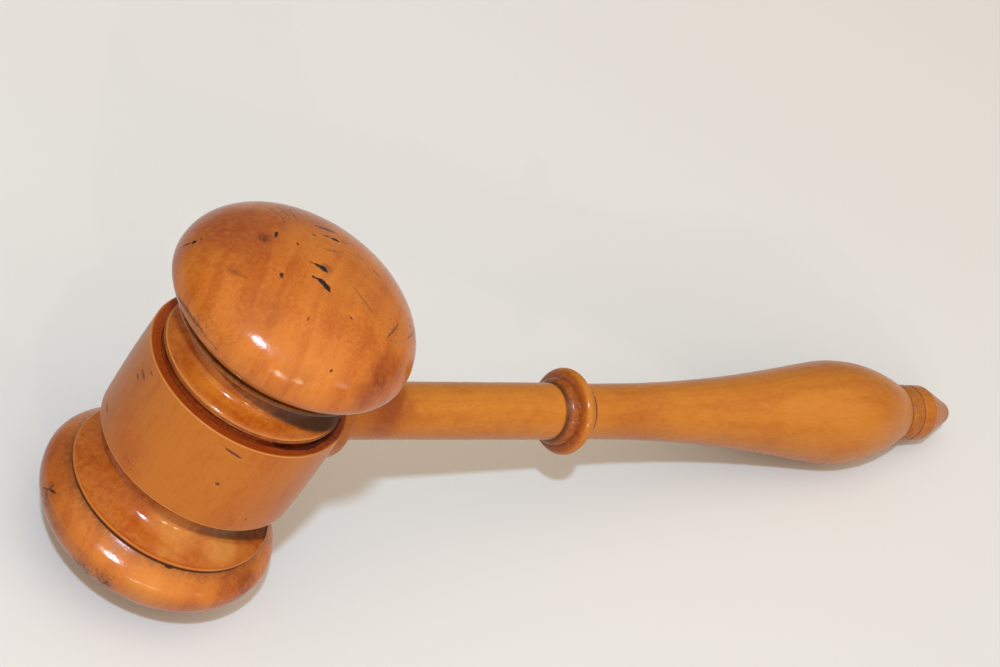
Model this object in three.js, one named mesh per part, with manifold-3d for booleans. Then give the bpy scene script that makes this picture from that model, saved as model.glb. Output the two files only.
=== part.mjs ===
// Auction gavel of turned wood: a head of five glued pieces on a one-piece handle.
// Millimetres, +Z up. It stands as on a table, on the dome of its lower striking
// cap and on the swell of the grip, with the handle running along +X.
import * as THREE from 'three';
import { mergeVertices } from 'three/addons/utils/BufferGeometryUtils.js';
import Module from 'manifold-3d';

const wasm = await Module();
wasm.setup();

// Fits
const glueGap = 0.3; // between a piece and the piece that it is glued to
const cutOverrun = 4; // how far a cutter stands clear of the surface it cuts

// Handle, from the tenon in the head outwards
const tenonRadius = 5;
const tenonLength = 15;
const collarRadius = 10.6;
const collarLength = 7.2;
const collarRound = 2;
const shaftRootRadius = 6.6;
const shaftRootCove = 0.8;
const shaftEndRadius = 6.85;
const shaftLength = 66.4; // from the collar to the small bead before the ring
const ringFaceWidth = 3; // small beads beside the ring
const ringFaceRadius = 8.2;
const ringGrooveDepth = 0.35;
const ringGrooveWidth = 0.5;
const ringWidth = 3.6;
const ringRadius = 10.6;
const gripRootRadius = 6.75;
const gripRadius = 13.65; // at its fullest
const gripLength = 89.6; // from the small bead after the ring to the fullest place
const gripSwellRun = 53.6; // how long the shaft stays slim
const gripCrownRun = 10.8; // how long the swell stays full on the head's side
const gripShoulderRun = 9; // and on the tip's side
const gripTailLength = 26; // from the fullest place to the groove
const gripEndRadius = 7.6;
const gripEndRun = 8.6;
const gripEndRise = 4;
const finialGrooveRadius = 6.2;
const finialGrooveWidth = 0.9;
const finialBeadLength = 4.8;
const finialBeadRadius = 7.45;
const finialLineDepth = 0.5;
const finialButtonLength = 5;
const finialConeLength = 11.3;
const finialTipRadius = 1.4;
const edgeBreak = 0.3; // small round on the finial's corners

// Barrel, the middle of the head
const barrelRadius = 23.8; // at its middle, and at the lips of the necks
const barrelBulge = 0.2; // how much slimmer it is at its ends
const barrelEdgeRound = 0.4;
const collarSink = 0.25; // the collar's seat is cut this far below the side
const collarLand = 1.4; // wood between the collar's seat and the barrel's ends
const endDishDepth = 0.4; // the end faces fall away towards the groove
const endLandWidth = 2.9; // from the barrel's edge to the groove
const endGrooveWidth = 1.5;
const endGrooveDepth = 1.6;
const endGrooveTaper = 0.5;
const socketWall = 1.6; // wood between the tenon's socket and the spigots' bores

// Necks, the waisted spools between barrel and caps
const neckHeight = 14.2; // from its seat on the barrel to its seat under the cap
const neckFootInset = 0.6; // the foot stands this far inside the barrel's groove
const neckSpigotRadius = 10;
const discOverhang = 0.5; // the sharp disc reaches this far past the groove
const discHeight = 1.5; // above the neck's seat
const discEdge = 1.05;
const waistHeightShare = 0.474; // of the hollow between disc and lip
const waistDepth = 6.8; // from the lip's edge in to the waist
const waistEaseShare = 0.5; // of the way up and down, how long the waist stays slim
const lipFlareRun = 3.9; // slope of the hollow where it meets the lip
const lipFlareDrop = 1.9;
const discFlareRun = 2.1; // and where it meets the disc
const discFlareRise = 2.9;
const lipThickness = 1.1;
const lipRound = 0.45;

// Striking caps, mushroom shaped
const capOverhang = 4.2; // how far the rim stands out past the neck's lip
const capSeamInset = 0.4; // the cap's foot stands this far inside the lip
const capShoulderHeight = 5.4; // from the seat on the neck up to the rim
const capShoulderDrop = 2.4; // how long the shoulder stays upright below the rim
const capFootFlare = 1.6; // its slope at the foot, level with upright
const domeRise = 14.4;
const domeExponent = 2.1; // 2 is an ellipse, and more is fuller
const capSpigotRadius = 8;
const capSpigotLength = 8;
const spigotChamfer = 0.5;

// Facets
const headSides = 56;
const handleSides = 36;
const domeSteps = 16;
const curveSteps = 7;
const tiltSteps = 48;

// Radii and heights on the head's own axis, from the middle of the barrel. The
// collar sits on a round flat cut into the barrel's side.
const collarSeatRadius = collarRadius + glueGap;
const barrelHalfHeight = collarSeatRadius + collarLand;
const barrelEdgeRadius = barrelRadius - barrelBulge;
const endFloor = barrelHalfHeight - endDishDepth;
const endGrooveOuter = barrelEdgeRadius - endLandWidth;
const endGrooveInner = endGrooveOuter - endGrooveWidth;
const neckBoreFloor = tenonRadius + glueGap + socketWall;
const neckSpigotEnd = neckBoreFloor + glueGap;
const neckSeat = endFloor + glueGap;
const neckTop = neckSeat + neckHeight;
const discRadius = endGrooveOuter + discOverhang;
const lipRadius = barrelRadius;
const waistRadius = lipRadius - waistDepth;
const capRadius = lipRadius + capOverhang;
const capSeat = neckTop + glueGap;
const capSpigotEnd = capSeat - capSpigotLength;
const capRim = capSeat + capShoulderHeight;

// Distances along the handle from the head's axis
const seatFloor = Math.sqrt(barrelRadius ** 2 - collarSeatRadius ** 2) - collarSink;
const collarSeat = seatFloor + glueGap;
const collarStand = collarSeat + collarLength;
const tenonEnd = collarSeat - tenonLength;
const shaftEnd = collarStand + shaftLength;
const ringNear = shaftEnd + ringFaceWidth;
const ringFar = ringNear + ringWidth;
const gripStart = ringFar + ringFaceWidth;
const gripFullest = gripStart + gripLength;
const gripEnd = gripFullest + gripTailLength;
const finialStart = gripEnd + finialGrooveWidth;
const finialLine = finialStart + finialBeadLength;
const buttonEnd = finialLine + finialButtonLength;
const finialTip = buttonEnd + finialConeLength;

// A turning profile as a list of (radius, height) points.
function profile(draw) {
  const path = new THREE.Path();
  draw(path);
  return path.getPoints(curveSteps);
}

function superellipse(radius, rise, exponent, steps) {
  return Array.from({ length: steps + 1 }, (_, i) => {
    const angle = (Math.PI / 2) * (1 - i / steps);
    const across = radius * Math.max(Math.cos(angle), 0) ** (2 / exponent);
    const up = rise * Math.sin(angle) ** (2 / exponent);
    return new THREE.Vector2(across, up);
  });
}

// A spigot from its shoulder down to its end, which is chamfered.
function spigotPoints(radius, shoulder, end) {
  return [
    new THREE.Vector2(radius, shoulder),
    new THREE.Vector2(radius, end + spigotChamfer),
    new THREE.Vector2(radius - spigotChamfer, end),
    new THREE.Vector2(0, end),
  ];
}

// Turns a profile that runs from the top of the axis down to its foot.
function turned(points, sides) {
  const geometry = new THREE.LatheGeometry([...points].reverse(), sides);
  return geometry.rotateX(Math.PI / 2);
}

function solidOf(geometry) {
  const bare = geometry.clone();
  bare.deleteAttribute('normal');
  bare.deleteAttribute('uv');
  const welded = mergeVertices(bare);
  return new wasm.Manifold(new wasm.Mesh({
    numProp: 3,
    vertProperties: new Float32Array(welded.attributes.position.array),
    triVerts: new Uint32Array(welded.index.array),
  }));
}

function geometryOf(solid) {
  const mesh = solid.getMesh();
  const geometry = new THREE.BufferGeometry();
  geometry.setAttribute('position', new THREE.BufferAttribute(mesh.vertProperties, 3));
  geometry.setIndex(new THREE.BufferAttribute(mesh.triVerts, 1));
  geometry.computeVertexNormals();
  return geometry;
}

function wood(color, roughness) {
  return new THREE.MeshStandardMaterial({ color, roughness, metalness: 0 });
}

function piece(name, geometry, material) {
  const mesh = new THREE.Mesh(geometry, material);
  mesh.name = name;
  return mesh;
}

// Barrel: dished ends with a dirt-catching groove, a bore at each end for the
// necks' spigots, and on +X the round flat and blind socket for the handle.
function barrelEnd() {
  const boreRadius = neckSpigotRadius + glueGap;
  const grooveFloor = endFloor - endGrooveDepth;
  return profile((path) => {
    path.moveTo(0, neckBoreFloor);
    path.lineTo(boreRadius, neckBoreFloor);
    path.lineTo(boreRadius, endFloor);
    path.lineTo(endGrooveInner, endFloor);
    path.lineTo(endGrooveInner + endGrooveTaper, grooveFloor);
    path.lineTo(endGrooveOuter - endGrooveTaper, grooveFloor);
    path.lineTo(endGrooveOuter, endFloor);
    path.lineTo((endGrooveOuter + barrelEdgeRadius) / 2, endFloor);
    path.lineTo(barrelEdgeRadius - barrelEdgeRound, barrelHalfHeight);
    path.lineTo(barrelEdgeRadius, barrelHalfHeight - barrelEdgeRound);
  });
}

function barrelSide() {
  const top = barrelHalfHeight - barrelEdgeRound;
  const curve = new THREE.QuadraticBezierCurve(
    new THREE.Vector2(barrelEdgeRadius, top),
    new THREE.Vector2(barrelRadius + barrelBulge, 0),
    new THREE.Vector2(barrelEdgeRadius, -top),
  );
  return curve.getPoints(curveSteps).slice(1, -1);
}

function barrelGeometry() {
  const end = barrelEnd();
  const mirrored = end.map((p) => new THREE.Vector2(p.x, -p.y)).reverse();
  const blank = solidOf(turned([...end, ...barrelSide(), ...mirrored], headSides));
  const bore = (radius, from, to) => {
    const cutter = new THREE.CylinderGeometry(radius, radius, to - from, handleSides);
    cutter.rotateZ(Math.PI / 2);
    cutter.translate((from + to) / 2, 0, 0);
    return solidOf(cutter);
  };
  const outside = barrelRadius + cutOverrun;
  const seat = bore(collarSeatRadius, seatFloor, outside);
  const socket = bore(tenonRadius + glueGap, tenonEnd - glueGap, outside);
  return geometryOf(blank.subtract(seat).subtract(socket));
}

// Neck: a bore for the cap's spigot, a rounded lip under the cap, a hollow
// waist, a sharp disc over the barrel's groove, and a spigot into the barrel.
function neckGeometry() {
  const boreRadius = capSpigotRadius + glueGap;
  const boreFloor = capSpigotEnd - glueGap;
  const lipFoot = neckTop - lipThickness;
  const disc = neckSeat + discHeight;
  const waist = disc + (lipFoot - disc) * waistHeightShare;
  const points = profile((path) => {
    path.moveTo(0, boreFloor);
    path.lineTo(boreRadius, boreFloor);
    path.lineTo(boreRadius, neckTop);
    path.lineTo(lipRadius - lipRound, neckTop);
    path.lineTo(lipRadius, neckTop - lipRound);
    path.lineTo(lipRadius, lipFoot + lipRound);
    path.lineTo(lipRadius - lipRound, lipFoot);
    path.bezierCurveTo(
      lipRadius - lipFlareRun, lipFoot - lipFlareDrop,
      waistRadius, waist + (lipFoot - waist) * waistEaseShare,
      waistRadius, waist,
    );
    path.bezierCurveTo(
      waistRadius, waist - (waist - disc) * waistEaseShare,
      discRadius - discFlareRun, disc + discFlareRise,
      discRadius, disc + discEdge,
    );
    path.lineTo(discRadius, disc);
    path.lineTo(endGrooveInner - neckFootInset, neckSeat);
  });
  return turned([
    ...points,
    ...spigotPoints(neckSpigotRadius, neckSeat, neckSpigotEnd),
  ], headSides);
}

// Striking cap: a dome, a rounded rim and a shoulder that slopes in to the seam,
// with a spigot into the neck.
function capProfile() {
  const dome = superellipse(capRadius, domeRise, domeExponent, domeSteps);
  const footRadius = lipRadius - capSeamInset;
  const shoulder = new THREE.CubicBezierCurve(
    new THREE.Vector2(capRadius, capRim),
    new THREE.Vector2(capRadius, capRim - capShoulderDrop),
    new THREE.Vector2(footRadius + capFootFlare, capSeat + capFootFlare),
    new THREE.Vector2(footRadius, capSeat),
  );
  return [
    ...dome.map((p) => new THREE.Vector2(p.x, p.y + capRim)),
    ...shoulder.getPoints(curveSteps).slice(1),
  ];
}

function capGeometry() {
  return turned([
    ...capProfile(),
    ...spigotPoints(capSpigotRadius, capSeat, capSpigotEnd),
  ], headSides);
}

// One of the small beads beside the ring, with a groove on each side of it, from
// the ring's face outwards.
function ringSide(from, side) {
  const grooveFloor = shaftEndRadius - ringGrooveDepth;
  const beadFoot = from + side * (ringFaceWidth - ringGrooveWidth);
  return [
    new THREE.Vector2(ringFaceRadius - ringGrooveDepth, from),
    new THREE.Vector2(ringFaceRadius, from + side * ringGrooveWidth),
    new THREE.Vector2(ringFaceRadius, from + side * ringFaceWidth / 2),
    new THREE.Vector2(grooveFloor, beadFoot),
    new THREE.Vector2(grooveFloor, from + side * ringFaceWidth),
  ];
}

// Handle profile from the tip of the finial to the end of the tenon, as
// (radius, distance from the head's axis).
function handleProfile() {
  return profile((path) => {
    path.moveTo(0, finialTip);
    path.lineTo(finialTipRadius, finialTip - edgeBreak);
    path.lineTo(finialTipRadius * 2, finialTip - finialTipRadius);
    path.lineTo(finialBeadRadius - edgeBreak * 2, buttonEnd);
    path.lineTo(finialBeadRadius, buttonEnd - edgeBreak * 3);
    path.lineTo(finialBeadRadius, finialLine + edgeBreak * 2);
    path.lineTo(finialBeadRadius - finialLineDepth, finialLine);
    path.quadraticCurveTo(
      finialBeadRadius + finialLineDepth, (finialStart + finialLine) / 2,
      finialBeadRadius - finialLineDepth, finialStart,
    );
    path.lineTo(finialGrooveRadius, finialStart);
    path.lineTo(finialGrooveRadius, gripEnd);
    path.lineTo(gripEndRadius, gripEnd);
    path.bezierCurveTo(
      gripEndRadius + gripEndRise, gripEnd - gripEndRun,
      gripRadius, gripFullest + gripShoulderRun,
      gripRadius, gripFullest,
    );
    path.bezierCurveTo(
      gripRadius, gripFullest - gripCrownRun,
      gripRootRadius, gripStart + gripSwellRun,
      gripRootRadius, gripStart + ringGrooveWidth,
    );
    ringSide(ringFar, 1).reverse().forEach((p) => path.lineTo(p.x, p.y));
    path.bezierCurveTo(
      ringRadius + ringGrooveDepth, ringFar,
      ringRadius + ringGrooveDepth, ringNear,
      ringFaceRadius - ringGrooveDepth, ringNear,
    );
    ringSide(ringNear, -1).slice(1).forEach((p) => path.lineTo(p.x, p.y));
    path.lineTo(shaftEndRadius, shaftEnd);
    path.lineTo(shaftRootRadius, collarStand + shaftRootCove);
    path.lineTo(shaftRootRadius + shaftRootCove, collarStand);
    path.lineTo(collarRadius - collarRound, collarStand);
    path.quadraticCurveTo(
      collarRadius, collarStand,
      collarRadius, collarStand - collarRound,
    );
    path.lineTo(collarRadius, collarSeat);
    path.lineTo(tenonRadius, collarSeat);
    path.lineTo(tenonRadius, tenonEnd + spigotChamfer);
    path.lineTo(tenonRadius - spigotChamfer, tenonEnd);
    path.lineTo(0, tenonEnd);
  });
}

// The tilt at which the lower dome and the grip's swell touch one table. A
// turned piece reaches lowest at one point of its profile for each tilt.
function restTilt() {
  const dome = capProfile();
  const handle = handleProfile();
  const headReach = (t) => Math.max(...dome.map((p) => p.x * Math.sin(t) + p.y * Math.cos(t)));
  const gripReach = (t) => Math.max(...handle.map((p) => p.y * Math.sin(t) + p.x * Math.cos(t)));
  let low = 0;
  let high = Math.PI / 4;
  for (let i = 0; i < tiltSteps; i += 1) {
    const middle = (low + high) / 2;
    if (gripReach(middle) < headReach(middle)) low = middle;
    else high = middle;
  }
  return (low + high) / 2;
}

const barrelWood = wood(0xc07a3e, 0.42);
const neckWood = wood(0xbf6522, 0.28);
const capWood = wood(0xc8782f, 0.26);
const handleWood = wood(0xc98138, 0.36);

const neck = neckGeometry();
const cap = capGeometry();

function headEnd(side, flip) {
  const end = new THREE.Group();
  end.add(piece(`${side}_neck`, neck, neckWood));
  end.add(piece(`${side}_striking_cap`, cap, capWood));
  end.rotation.x = flip;
  return end;
}

const handle = piece('handle', turned(handleProfile(), handleSides), handleWood);
handle.rotation.y = Math.PI / 2;

const tilted = new THREE.Group();
tilted.rotation.y = restTilt();
tilted.add(piece('head_barrel', barrelGeometry(), barrelWood));
tilted.add(headEnd('upper', 0));
tilted.add(headEnd('lower', Math.PI));
tilted.add(handle);

// The origin is the middle of the bounding box, on the table.
const gavel = new THREE.Group();
gavel.add(tilted);
gavel.updateMatrixWorld(true);
const bounds = new THREE.Box3().setFromObject(gavel, true);
tilted.position.set(
  -(bounds.min.x + bounds.max.x) / 2,
  -(bounds.min.y + bounds.max.y) / 2,
  -bounds.min.z,
);

export default gavel;
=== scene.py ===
import math

import bpy
from mathutils import Matrix, Vector, noise as perlin


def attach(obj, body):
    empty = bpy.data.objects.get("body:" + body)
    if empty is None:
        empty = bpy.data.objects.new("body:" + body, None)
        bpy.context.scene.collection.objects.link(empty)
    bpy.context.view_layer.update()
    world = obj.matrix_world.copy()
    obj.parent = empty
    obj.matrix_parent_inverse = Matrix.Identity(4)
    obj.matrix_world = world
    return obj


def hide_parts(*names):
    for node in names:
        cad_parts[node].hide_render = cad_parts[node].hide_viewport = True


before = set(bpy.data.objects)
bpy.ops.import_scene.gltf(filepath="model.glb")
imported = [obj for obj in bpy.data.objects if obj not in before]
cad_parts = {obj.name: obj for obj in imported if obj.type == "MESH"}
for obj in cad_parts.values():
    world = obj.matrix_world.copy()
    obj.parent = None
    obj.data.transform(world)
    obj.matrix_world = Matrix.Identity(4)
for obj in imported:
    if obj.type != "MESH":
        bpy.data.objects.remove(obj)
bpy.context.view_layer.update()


# Table, camera and light. A plain pale table, seen paler than it shines on the gavel,
# under soft warm light from all round, brighter in front and above. A small cool
# lamp and three weak warm bulbs draw the small highlights on the varnish.
mm = 0.001
table_half = 3.0
table_color = (0.755, 0.765, 0.78, 1)
table_shine = (0.34, 0.31, 0.28, 1)
table_in_varnish = 0.8

table_mesh = bpy.data.meshes.new("table")
table_corners = [
    (-table_half, -table_half, 0), (table_half, -table_half, 0),
    (table_half, table_half, 0), (-table_half, table_half, 0),
]
table_mesh.from_pydata(table_corners, [], [(0, 1, 2, 3)])
table = bpy.data.objects.new("table", table_mesh)
bpy.context.collection.objects.link(table)
table_paint = bpy.data.materials.new("table paint")
table_paint.use_nodes = True
table_shader = table_paint.node_tree.nodes["Principled BSDF"]
table_shader.inputs["Roughness"].default_value = 0.9
table_shader.inputs["Specular IOR Level"].default_value = 0.1
table_mesh.materials.append(table_paint)

camera_place = Vector((-0.39297, -0.32027, 0.47254))
camera_right = Vector((0.82080, -0.43163, 0.37415))
camera_up = Vector((0.09058, 0.74507, 0.66081))
camera_data = bpy.data.cameras.new("camera")
camera_data.sensor_fit = "HORIZONTAL"
camera_data.sensor_width = 36
camera_data.lens = 100.8
camera = bpy.data.objects.new("camera", camera_data)
bpy.context.collection.objects.link(camera)
camera_turn = Matrix((camera_right, camera_up, camera_right.cross(camera_up))).transposed()
camera.matrix_world = Matrix.Translation(camera_place) @ camera_turn.to_4x4()
bpy.context.scene.camera = camera

head_centre = Vector((-0.1027, 0, 0.0467))
window_way = Vector((-0.20, -0.60, 0.775))
wall_way = Vector((0.60, 0.80, 0.0))
room_dim = 0.12
window_light = 1.5
wall_light = 0.38
room_color = (0.71, 0.595, 0.455, 1)
bulb_distance = 1.2
bulb_color = (1.0, 0.86, 0.66)


def put(tree, kind, sockets=None, **settings):
    """Put a node in a tree, with its settings, and its inputs linked or filled."""
    node = tree.nodes.new(kind)
    for name, value in settings.items():
        setattr(node, name, value)
    for socket, value in (sockets or {}).items():
        if isinstance(value, bpy.types.NodeSocket):
            tree.links.new(value, node.inputs[socket])
        else:
            node.inputs[socket].default_value = value
    return node


def lamp(name, towards, distance, size, watts, color):
    """A round lamp of a size, so far from the head, that shines on the head."""
    data = bpy.data.lights.new(name, "AREA")
    data.shape = "DISK"
    data.size = size
    data.energy = watts
    data.color = color
    stand = bpy.data.objects.new(name, data)
    bpy.context.collection.objects.link(stand)
    direction = Vector(towards).normalized()
    stand.location = head_centre + direction * distance
    stand.rotation_euler = direction.to_track_quat("Z", "Y").to_euler()


table_seen = put(table_paint.node_tree, "ShaderNodeLightPath").outputs
table_glint = put(table_paint.node_tree, "ShaderNodeMath", {
    0: table_seen["Is Glossy Ray"], 1: table_in_varnish}, operation="MULTIPLY")
table_view = put(table_paint.node_tree, "ShaderNodeMath", {
    0: table_seen["Is Camera Ray"], 1: table_glint.outputs[0]}, operation="MAXIMUM")
table_tone = put(table_paint.node_tree, "ShaderNodeMix", {
    0: table_view.outputs[0], 6: table_shine, 7: table_color}, data_type="RGBA")
table_paint.node_tree.links.new(table_tone.outputs[2], table_shader.inputs["Base Color"])

lamp("cool lamp", (-0.421, -0.350, 0.837), 1.5, 0.072, 12.4, (0.62, 0.81, 1.0))
for name, towards, size, watts in (
        ("warm bulb left", (-0.428, -0.848, 0.311), 0.017, 1.35),
        ("warm bulb middle", (-0.15, -0.94, 0.31), 0.015, 0.85),
        ("warm bulb right", (0.47, -0.82, 0.34), 0.018, 0.3)):
    lamp(name, towards, bulb_distance, size, watts, bulb_color)

room = bpy.data.worlds.new("room")
bpy.context.scene.world = room
room.use_nodes = True
room_light = room.node_tree.nodes["Background"]
look = put(room.node_tree, "ShaderNodeTexCoord").outputs["Generated"]
brightness = room_dim
for way, strength in ((window_way, window_light), (wall_way, wall_light)):
    towards = put(room.node_tree, "ShaderNodeVectorMath", {
        0: look, 1: way}, operation="DOT_PRODUCT").outputs["Value"]
    glow = put(room.node_tree, "ShaderNodeMapRange", {
        "Value": towards, "From Min": -0.1, "From Max": 1.0, "To Min": 0.0,
        "To Max": strength}, interpolation_type="SMOOTHSTEP").outputs[0]
    brightness = put(room.node_tree, "ShaderNodeMath", {0: brightness, 1: glow}).outputs[0]
room_light.inputs["Color"].default_value = room_color
room.node_tree.links.new(brightness, room_light.inputs["Strength"])
bpy.context.scene.view_settings.view_transform = "Standard"


# Head barrel. The middle of the head, turned from a pale close-grained wood and
# varnished, with a shallow groove around each end where dirt has gathered and painted
# shade darkens it under the neck's disc. The handle's collar sits on a round flat on
# its side.
rest_tilt = 0.16811
rest_place = Vector((-0.102741, 0, 0.046704))
rest_turn = Matrix.Translation(rest_place) @ Matrix.Rotation(rest_tilt, 4, "Y")
glue_gap = 0.3
barrel_radius = 23.8
barrel_bulge = 0.2
barrel_half_height = 12.3
barrel_edge_round = 0.4
end_dish = 0.4
end_land = 2.9
end_groove_width = 1.5
end_groove_depth = 1.6
neck_bore_radius = 10.3
neck_bore_floor = 6.9
tenon_bore_radius = 5.3
barrel_sides = 360
groove_lean = 0.4
land_dirt = 0.5
land_fall = 0.1
edge_strip = 0.5
corner_steps = 6
fine_step = 0.5
weld_distance = 0.01 * mm
shave = 0.04 * mm
unevenness = 0.04 * mm
sanding_spot = 7 * mm
dent_reach = 3
dent_slope = 1.5


def maths(tree, operation, *values):
    """A Math node's result."""
    return put(tree, "ShaderNodeMath", dict(enumerate(values)), operation=operation).outputs[0]


def vectors(tree, operation, *values, result="Vector"):
    """A Vector Math node's result."""
    sockets = dict(enumerate(values))
    return put(tree, "ShaderNodeVectorMath", sockets, operation=operation).outputs[result]


def soft_step(tree, value, low, high, to_low=0.0, to_high=1.0):
    """A smooth rise from to_low to to_high while the value goes from low to high."""
    return put(tree, "ShaderNodeMapRange", {
        "Value": value, "From Min": low, "From Max": high, "To Min": to_low, "To Max": to_high,
    }, interpolation_type="SMOOTHSTEP").outputs[0]


def noise(tree, place, stretch, detail=2.0, roughness=0.5, distortion=0.0):
    """Noise at a place in mm, with so many spots to a mm along each direction."""
    stretched = vectors(tree, "MULTIPLY", place, Vector(stretch))
    return put(tree, "ShaderNodeTexNoise", {
        "Vector": stretched, "Scale": 1.0, "Detail": detail, "Roughness": roughness,
        "Distortion": distortion}).outputs


def total(tree, *values):
    """The sum of some values."""
    result = values[0]
    for value in values[1:]:
        result = maths(tree, "ADD", result, value)
    return result


def about_middle(tree, pattern, range_of):
    """A pattern from 0 to 1 made into a shift down and up, over so wide a range."""
    return maths(tree, "MULTIPLY", maths(tree, "SUBTRACT", pattern, 0.5), range_of)


def how_far(tree, place, way):
    """How far a place lies in a direction."""
    return vectors(tree, "DOT_PRODUCT", place, Vector(way), result="Value")


def tinted(tree, amount, plain, tint):
    """A colour that goes from plain to tint."""
    return put(tree, "ShaderNodeMix", {0: amount, 6: plain, 7: tint}, data_type="RGBA").outputs[2]


def shader_group(name, inputs, outputs):
    """A shader node group with named inputs and outputs, and what its inputs give."""
    group = bpy.data.node_groups.new(name, "ShaderNodeTree")
    for label, kind in inputs.items():
        group.interface.new_socket(label, in_out="INPUT", socket_type="NodeSocket" + kind)
    for label, kind in outputs.items():
        group.interface.new_socket(label, in_out="OUTPUT", socket_type="NodeSocket" + kind)
    return group, put(group, "NodeGroupInput").outputs


def drawn(corners):
    """A turning profile from its corners (radius, height, fillet, dirt and shade)."""
    points = []
    for i, (radius, height, fillet, soil) in enumerate(corners):
        at = Vector((radius, height, soil))
        if fillet == 0:
            points.append(at)
            continue
        back = Vector(corners[i - 1][:2]) - at.xy
        ahead = Vector(corners[i + 1][:2]) - at.xy
        start = at.xy + back.normalized() * min(fillet, back.length / 2)
        end = at.xy + ahead.normalized() * min(fillet, ahead.length / 2)
        for k in range(corner_steps + 1):
            t = k / corner_steps
            curve = start * (1 - t) ** 2 + at.xy * (2 * t * (1 - t)) + end * t ** 2
            points.append(Vector((*curve, soil)))
    return points


def close_set(points, step=fine_step):
    """The profile with points added until neighbours are no further apart than step."""
    result = [points[0]]
    for a, b in zip(points, points[1:]):
        length = (b.xy - a.xy).length
        count = max(1, math.ceil(length / step))
        result += [a.lerp(b, k / count) for k in range(1, count + 1)]
    return result


# The lathe turns a drawn profile about its axis, from the index of its points,
# and keeps the dirt and shade value that the profile carries: above zero it darkens
# the wood, for real dirt and for painted shade, and below zero it pales it, for wear
# and for painted highlights.
lathe = bpy.data.node_groups.new("turn on the lathe", "GeometryNodeTree")
lathe.interface.new_socket("Profile", in_out="INPUT", socket_type="NodeSocketGeometry")
lathe_sides = lathe.interface.new_socket("Sides", in_out="INPUT", socket_type="NodeSocketInt")
lathe_weld = lathe.interface.new_socket("Weld", in_out="INPUT", socket_type="NodeSocketFloat")
lathe_wood = lathe.interface.new_socket(
    "Wood", in_out="INPUT", socket_type="NodeSocketMaterial")
lathe.interface.new_socket("Turned", in_out="OUTPUT", socket_type="NodeSocketGeometry")
given = put(lathe, "NodeGroupInput").outputs
rows = put(lathe, "GeometryNodeAttributeDomainSize", {0: given["Profile"]}).outputs[0]
blank = put(lathe, "GeometryNodeMeshGrid", {
    "Vertices X": maths(lathe, "ADD", given["Sides"], 1),
    "Vertices Y": rows,
})
number = put(lathe, "GeometryNodeInputIndex").outputs[0]
row = maths(lathe, "MODULO", number, rows)
column = maths(lathe, "FLOOR", maths(lathe, "DIVIDE", number, rows))
angle = maths(lathe, "MULTIPLY", maths(lathe, "DIVIDE", column, given["Sides"]), -math.tau)


def profile_value(field, kind):
    """What the drawn profile holds at the row of a point."""
    return put(lathe, "GeometryNodeSampleIndex", {
        "Geometry": given["Profile"], "Value": field, "Index": row,
    }, data_type=kind).outputs[0]


point = put(lathe, "ShaderNodeSeparateXYZ", {
    0: profile_value(put(lathe, "GeometryNodeInputPosition").outputs[0], "FLOAT_VECTOR")})
turned_place = put(lathe, "ShaderNodeCombineXYZ", {
    "X": maths(lathe, "MULTIPLY", point.outputs["X"], maths(lathe, "COSINE", angle)),
    "Y": maths(lathe, "MULTIPLY", point.outputs["X"], maths(lathe, "SINE", angle)),
    "Z": point.outputs["Z"],
})
soil_read = put(lathe, "GeometryNodeInputNamedAttribute", {"Name": "soil"}, data_type="FLOAT")
turned_soil = put(lathe, "GeometryNodeStoreNamedAttribute", {
    "Geometry": put(lathe, "GeometryNodeSetPosition", {
        "Geometry": blank.outputs["Mesh"], "Position": turned_place.outputs[0]}).outputs[0],
    "Name": "soil",
    "Value": profile_value(soil_read.outputs[0], "FLOAT"),
}, data_type="FLOAT", domain="POINT")
welded = put(lathe, "GeometryNodeMergeByDistance", {
    "Geometry": turned_soil.outputs[0], "Distance": given["Weld"]})
smooth = put(lathe, "GeometryNodeSetShadeSmooth", {"Geometry": welded.outputs[0]})
made_real = put(lathe, "GeometryNodeRealizeInstances", {"Geometry": smooth.outputs[0]})
with_wood = put(lathe, "GeometryNodeSetMaterial", {
    "Geometry": made_real.outputs[0], "Material": given["Wood"]})
put(lathe, "NodeGroupOutput", {0: with_wood.outputs[0]})


def turn(name, profile, sides, wood):
    """Turn a profile of (radius, height, dirt and shade) in mm into a plain mesh object."""
    rod = bpy.data.meshes.new(name)
    edges = [(i, i + 1) for i in range(len(profile) - 1)]
    rod.from_pydata([(p.x * mm, 0, p.y * mm) for p in profile], edges, [])
    soil = rod.attributes.new("soil", "FLOAT", "POINT")
    soil.data.foreach_set("value", [p.z for p in profile])
    stock = bpy.data.objects.new(name, rod)
    bpy.context.collection.objects.link(stock)
    turning = stock.modifiers.new("lathe", "NODES")
    turning.node_group = lathe
    turning[lathe_sides.identifier] = sides
    turning[lathe_weld.identifier] = weld_distance
    turning[lathe_wood.identifier] = wood
    ready = bpy.context.evaluated_depsgraph_get()
    mesh = bpy.data.meshes.new_from_object(stock.evaluated_get(ready))
    stock.modifiers.remove(turning)
    stock.data = mesh
    return stock


def seat(piece, place, node, knocks=()):
    """Put a turned piece at its place in the gavel, where it stands for its node. Its
    surface is a little uneven, as hand sanding leaves it, and dented by its knocks."""
    mesh = piece.data
    mesh.transform(place)
    places = [v.co.copy() for v in mesh.vertices]
    outwards = [n.vector.copy() for n in mesh.vertex_normals]
    dents = [(rest_turn @ (a * mm), rest_turn @ (b * mm), width * mm, depth * mm)
             for a, b, width, depth, dark in knocks if depth > 0]
    moved = []
    for at, out in zip(places, outwards):
        depth = shave + unevenness * perlin.noise(at / sanding_spot)
        for a, b, width, deepest in dents:
            if (at - a).length > width * dent_reach + (b - a).length:
                continue
            along = b - a
            t = min(max((at - a).dot(along) / max(along.length_squared, 1e-12), 0), 1)
            near = (at - a - along * t).length / width
            depth += deepest * math.exp(-near * near * dent_slope)
        moved += list(at - out * depth)
    mesh.vertices.foreach_set("co", moved)
    mesh.update()
    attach(piece, "root")
    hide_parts(node)
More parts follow.
